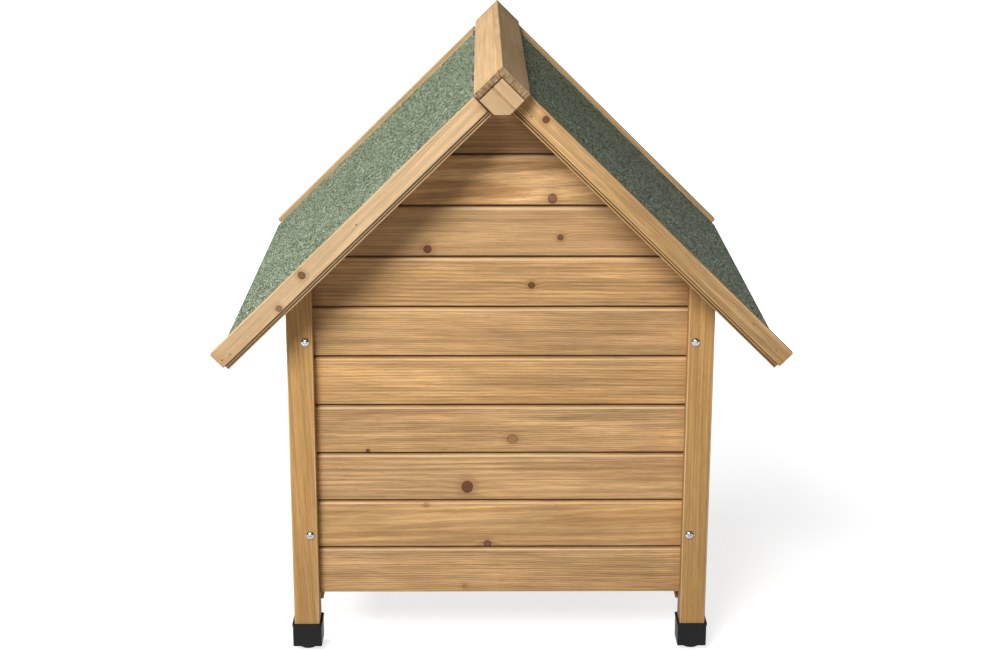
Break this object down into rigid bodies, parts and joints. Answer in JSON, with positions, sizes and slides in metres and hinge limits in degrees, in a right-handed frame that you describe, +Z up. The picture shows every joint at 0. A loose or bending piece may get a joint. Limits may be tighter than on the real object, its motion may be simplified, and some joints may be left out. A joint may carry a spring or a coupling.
{
  "type": "dog house",
  "caption": "Timber dog house on screw-in feet, with tongued and grooved walls, an arched doorway and a steep felted roof whose one half opens on hinges.",
  "frame": {"origin": "middle of the footprint on the ground, under the fully screwed-in feet", "axes": "+Z up, +X across the gables to the fixed roof half's side, +Y from the plain rear gable to the doorway gable, along the ridge"},
  "size_m": [0.7102, 0.7014, 0.7845],
  "materials": {
    "wall_pine": "honey-stained pine boards, planed, with knots",
    "frame_pine": "honey-stained pine posts and battens, planed",
    "trim_pine": "pale honey-stained pine trim, planed",
    "inner_pine": "plain pine boards, sawn and lightly planed",
    "green_felt": "bitumen roofing felt with a green mineral grit face",
    "hinge_steel": "zinc-plated pressed steel",
    "zinc_steel": "bright zinc-plated steel",
    "black_plastic": "matt black moulded plastic"
  },
  "bodies": {
    "house": {"corner_battens": "frame_pine", "doorway_stiles": "frame_pine", "floor_bearers": "frame_pine", "floor_boards": "inner_pine", "foot_caps": "black_plastic", "front_bargeboard_right": "trim_pine", "front_board_01": "wall_pine", "front_board_02": "wall_pine", "front_board_03": "wall_pine", "front_board_04": "wall_pine", "front_board_05": "wall_pine", "front_board_06": "wall_pine", "front_board_07": "wall_pine", "front_board_08": "wall_pine", "front_board_09": "wall_pine", "front_board_10": "wall_pine", "gable_rafters": "frame_pine", "hinge_leaves_fixed": "hinge_steel", "hinge_pins": "hinge_steel", "hinge_screws_beam": "hinge_steel", "post_front_left": "frame_pine", "post_front_right": "frame_pine", "post_rear_left": "frame_pine", "post_rear_right": "frame_pine", "rear_bargeboard_right": "trim_pine", "rear_board_01": "wall_pine", "rear_board_02": "wall_pine", "rear_board_03": "wall_pine", "rear_board_04": "wall_pine", "rear_board_05": "wall_pine", "rear_board_06": "wall_pine", "rear_board_07": "wall_pine", "rear_board_08": "wall_pine", "rear_board_09": "wall_pine", "rear_board_10": "wall_pine", "ridge_beam": "trim_pine", "ridge_cap_left": "trim_pine", "ridge_cap_right": "trim_pine", "ridge_end_blocks": "trim_pine", "roof_deck_right": "inner_pine", "roof_felt_right": "green_felt", "roof_rafters_right": "inner_pine", "side_boards_left": "wall_pine", "side_boards_right": "wall_pine", "wall_screws": "zinc_steel"},
    "roof_half_left": {"roof_deck_left": "inner_pine", "roof_felt_left": "green_felt", "roof_rafters_left": "inner_pine", "rear_bargeboard_left": "trim_pine", "front_bargeboard_left": "trim_pine", "hinge_leaves_moving": "hinge_steel", "hinge_screws_lid": "hinge_steel"},
    "foot_rear_left": {"foot_pad_rear_left": "black_plastic", "foot_stem_rear_left": "zinc_steel"},
    "foot_rear_right": {"foot_pad_rear_right": "black_plastic", "foot_stem_rear_right": "zinc_steel"},
    "foot_front_left": {"foot_pad_front_left": "black_plastic", "foot_stem_front_left": "zinc_steel"},
    "foot_front_right": {"foot_pad_front_right": "black_plastic", "foot_stem_front_right": "zinc_steel"}
  },
  "joints": [
    {"name": "roof_hinge", "type": "hinge", "parent": "house", "child": "roof_half_left", "pos_m": [-0.03381, 0, 0.7489], "axis": [0, 1, 0], "range_deg": [0, 150]},
    {"name": "foot_screw_rear_left", "type": "slide", "parent": "house", "child": "foot_rear_left", "axis": [0, 0, -1], "range_m": [0, 0.015]},
    {"name": "foot_screw_rear_right", "type": "slide", "parent": "house", "child": "foot_rear_right", "axis": [0, 0, -1], "range_m": [0, 0.015]},
    {"name": "foot_screw_front_left", "type": "slide", "parent": "house", "child": "foot_front_left", "axis": [0, 0, -1], "range_m": [0, 0.015]},
    {"name": "foot_screw_front_right", "type": "slide", "parent": "house", "child": "foot_front_right", "axis": [0, 0, -1], "range_m": [0, 0.015]}
  ]
}
